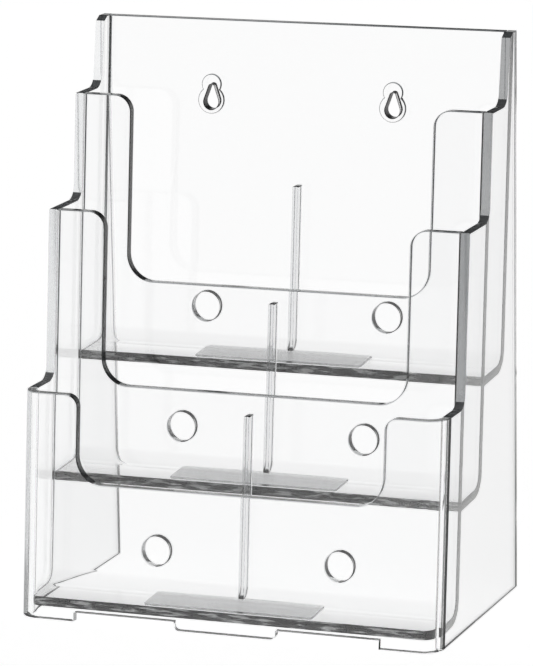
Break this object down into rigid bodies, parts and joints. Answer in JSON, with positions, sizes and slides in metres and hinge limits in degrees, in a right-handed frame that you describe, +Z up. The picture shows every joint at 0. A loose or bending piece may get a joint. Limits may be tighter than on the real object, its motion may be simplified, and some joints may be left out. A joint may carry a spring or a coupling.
{
  "type": "brochure rack",
  "caption": "Clear stepped rack that stands or hangs and shows leaflets in tiered pockets, each with a lift-out divider.",
  "frame": {"origin": "on the ground, at the middle of the rack's footprint", "axes": "+Z up, -Y towards the reader at the front, +X to the reader's right"},
  "size_m": [0.24, 0.1402, 0.31],
  "materials": {
    "clear_sheet": "polished clear acrylic sheet, faintly grey at its cut edges",
    "clear_divider": "clear moulded plastic, slightly greyer than the sheet"
  },
  "bodies": {
    "rack": {"side_panel_right": "clear_sheet", "side_panel_left": "clear_sheet", "back_tray": "clear_sheet", "middle_tray": "clear_sheet", "lower_tray": "clear_sheet", "front_panel": "clear_sheet"},
    "divider_top": {"divider_top": "clear_divider"},
    "divider_middle": {"divider_middle": "clear_divider"},
    "divider_lower": {"divider_lower": "clear_divider"}
  },
  "joints": [
    {"name": "divider_top_lift", "type": "slide", "parent": "rack", "child": "divider_top", "axis": [0, 0.1045, 0.9945], "range_m": [0, 0.07]},
    {"name": "divider_middle_lift", "type": "slide", "parent": "rack", "child": "divider_middle", "axis": [0, 0.1045, 0.9945], "range_m": [0, 0.07]},
    {"name": "divider_lower_lift", "type": "slide", "parent": "rack", "child": "divider_lower", "axis": [0, 0.1045, 0.9945], "range_m": [0, 0.07]}
  ]
}
